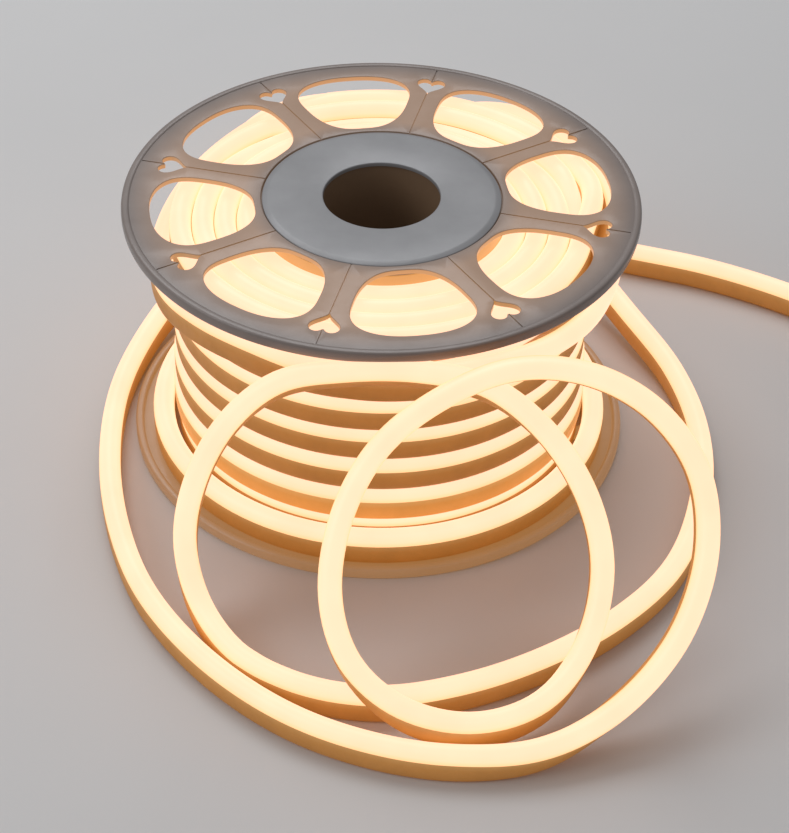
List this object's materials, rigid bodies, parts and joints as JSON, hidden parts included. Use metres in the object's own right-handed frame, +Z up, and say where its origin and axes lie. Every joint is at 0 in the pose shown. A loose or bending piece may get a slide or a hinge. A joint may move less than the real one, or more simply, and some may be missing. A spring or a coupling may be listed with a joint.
{
  "type": "led neon strip reel",
  "caption": "Moulded flanged reel wound with flexible neon LED strip, rounded windows and heart cut-outs in its flanges, the free end of the strip lying in loops on the floor.",
  "frame": {"origin": "on the floor under the reel's axis", "axes": "+Z up along the reel's axis, -Y towards the loops of free strip, +X towards the side where the tail runs out"},
  "size_m": [0.4408, 0.5663, 0.1447],
  "materials": {
    "flange_plastic": "fine moulded satin, grey-brown",
    "cap_plastic": "fine moulded satin, neutral grey",
    "core_plastic": "matt",
    "neon_silicone": "milky diffuser over an opaque channel, lit warm white from inside",
    "end_cap_silicone": "matt white silicone"
  },
  "bodies": {
    "root": {"lower_flange": "flange_plastic", "upper_flange": "flange_plastic", "lower_hub_cap": "cap_plastic", "upper_hub_cap": "cap_plastic", "winding_barrel": "core_plastic", "spindle_tube": "core_plastic", "wound_strip": "neon_silicone", "free_strip": "neon_silicone", "strip_end_cap": "end_cap_silicone"}
  },
  "joints": []
}
